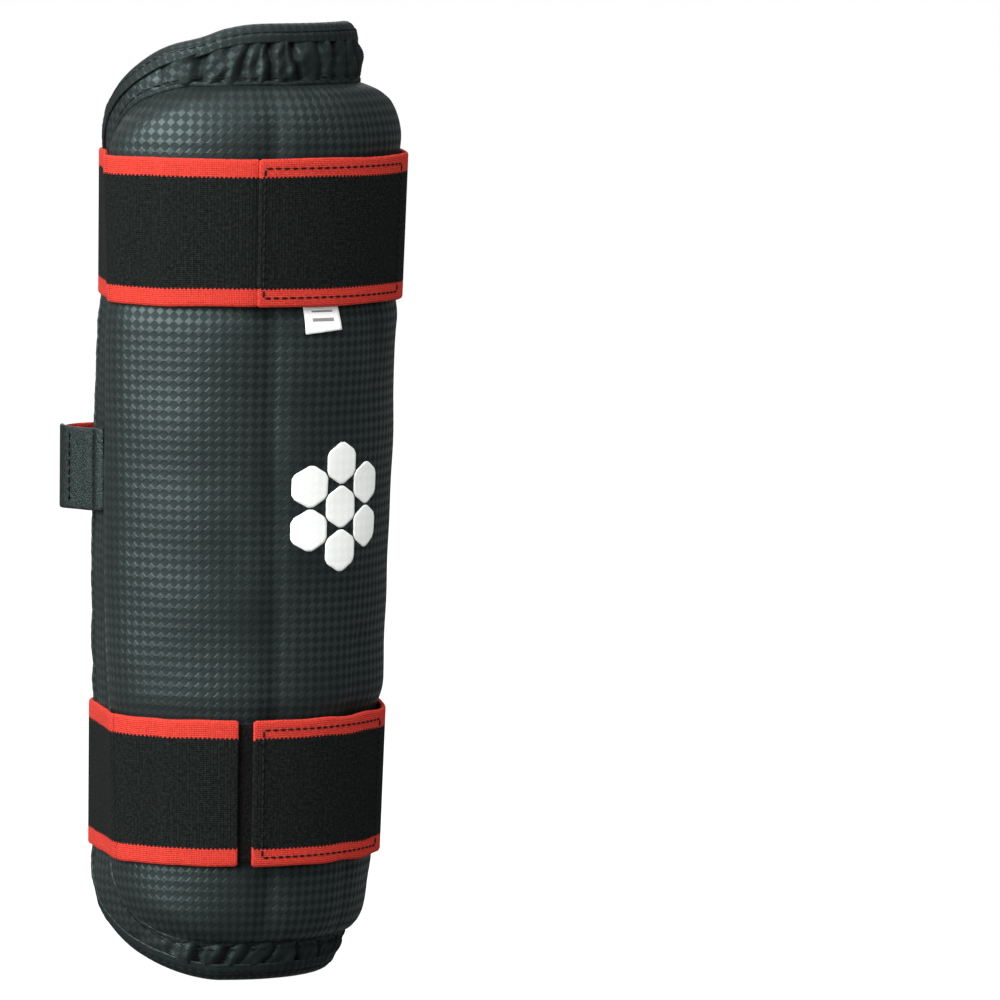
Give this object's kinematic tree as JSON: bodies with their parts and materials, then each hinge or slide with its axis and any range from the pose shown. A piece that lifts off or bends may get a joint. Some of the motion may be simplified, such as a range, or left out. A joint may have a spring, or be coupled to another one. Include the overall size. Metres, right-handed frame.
{
  "type": "forearm guard",
  "caption": "Curved padded forearm guard in black embossed vinyl, with gathered collars, a bound edge and wide red-edged elastic straps closed by hook and loop.",
  "frame": {"origin": "middle of the arm channel, on its axis and half way up the guard", "axes": "+Z along the arm towards the elbow end, -Y out of the guard's front, +X to the viewer's right"},
  "size_m": [0.1087, 0.103, 0.298],
  "materials": {
    "vinyl": "satin, embossed weave",
    "binding_vinyl": "satin, fine grain",
    "lining_cloth": "matt knit",
    "foam": "matt closed-cell foam",
    "elastic": "matt ribbed",
    "webbing": "matt ribbed weave",
    "webbing_edge": "matt ribbed weave",
    "hook_tape": "rough hooks",
    "loop_tape": "fuzzy loops",
    "thread": "matt",
    "label": "woven satin",
    "print": "matt print"
  },
  "bodies": {
    "shell": {"lining": "lining_cloth", "base_foam": "foam", "base_cover": "vinyl", "gather_elastic_top": "elastic", "gather_elastic_bottom": "elastic", "pad_foam_left": "foam", "pad_foam_center": "foam", "pad_foam_right": "foam", "pad_cover": "vinyl", "edge_binding": "binding_vinyl", "size_label": "label", "front_emblem": "print", "mid_band": "webbing", "mid_tab": "binding_vinyl", "upper_back_span": "webbing", "lower_back_span": "webbing"},
    "upper_tab_inner": {"upper_tab_inner": "webbing"},
    "upper_tab_outer": {"upper_tab_outer": "webbing", "upper_hook_patch": "hook_tape"},
    "upper_band_inner": {"upper_band_inner": "webbing"},
    "upper_band_outer": {"upper_band_outer": "webbing", "upper_loop_patch": "loop_tape"},
    "lower_tab_inner": {"lower_tab_inner": "webbing"},
    "lower_tab_outer": {"lower_tab_outer": "webbing", "lower_hook_patch": "hook_tape"},
    "lower_band_inner": {"lower_band_inner": "webbing"},
    "lower_band_outer": {"lower_band_outer": "webbing", "lower_loop_patch": "loop_tape"}
  },
  "joints": [
    {"name": "upper_tab_open", "type": "hinge", "parent": "shell", "child": "upper_tab_inner", "pos_m": [0.04944, 0.00607, 0.0856], "axis": [0, 0, 1], "range_deg": [0, 110]},
    {"name": "upper_tab_peel", "type": "hinge", "parent": "upper_tab_inner", "child": "upper_tab_outer", "pos_m": [0.03738, -0.04455, 0.0856], "axis": [0, 0, 1], "range_deg": [0, 55]},
    {"name": "upper_band_open", "type": "hinge", "parent": "shell", "child": "upper_band_inner", "pos_m": [-0.04944, 0.00607, 0.0856], "axis": [0, 0, 1], "range_deg": [-55, 0]},
    {"name": "upper_band_unroll", "type": "hinge", "parent": "upper_band_inner", "child": "upper_band_outer", "pos_m": [-0.05044, -0.0246, 0.0856], "axis": [0, 0, 1], "range_deg": [-45, 0]},
    {"name": "lower_tab_open", "type": "hinge", "parent": "shell", "child": "lower_tab_inner", "pos_m": [0.04668, 0.00573, -0.088], "axis": [0, 0, 1], "range_deg": [0, 110]},
    {"name": "lower_tab_peel", "type": "hinge", "parent": "lower_tab_inner", "child": "lower_tab_outer", "pos_m": [0.03381, -0.0403, -0.088], "axis": [0, 0, 1], "range_deg": [0, 55]},
    {"name": "lower_band_open", "type": "hinge", "parent": "shell", "child": "lower_band_inner", "pos_m": [-0.04668, 0.00573, -0.088], "axis": [0, 0, 1], "range_deg": [-55, 0]},
    {"name": "lower_band_unroll", "type": "hinge", "parent": "lower_band_inner", "child": "lower_band_outer", "pos_m": [-0.04545, -0.02217, -0.088], "axis": [0, 0, 1], "range_deg": [-45, 0]}
  ],
  "couplings": [
    {"joint": "upper_band_open", "follows": "upper_tab_open", "ratio": -0.45},
    {"joint": "upper_band_unroll", "follows": "upper_tab_open", "ratio": -0.35},
    {"joint": "lower_band_open", "follows": "lower_tab_open", "ratio": -0.45},
    {"joint": "lower_band_unroll", "follows": "lower_tab_open", "ratio": -0.35}
  ]
}
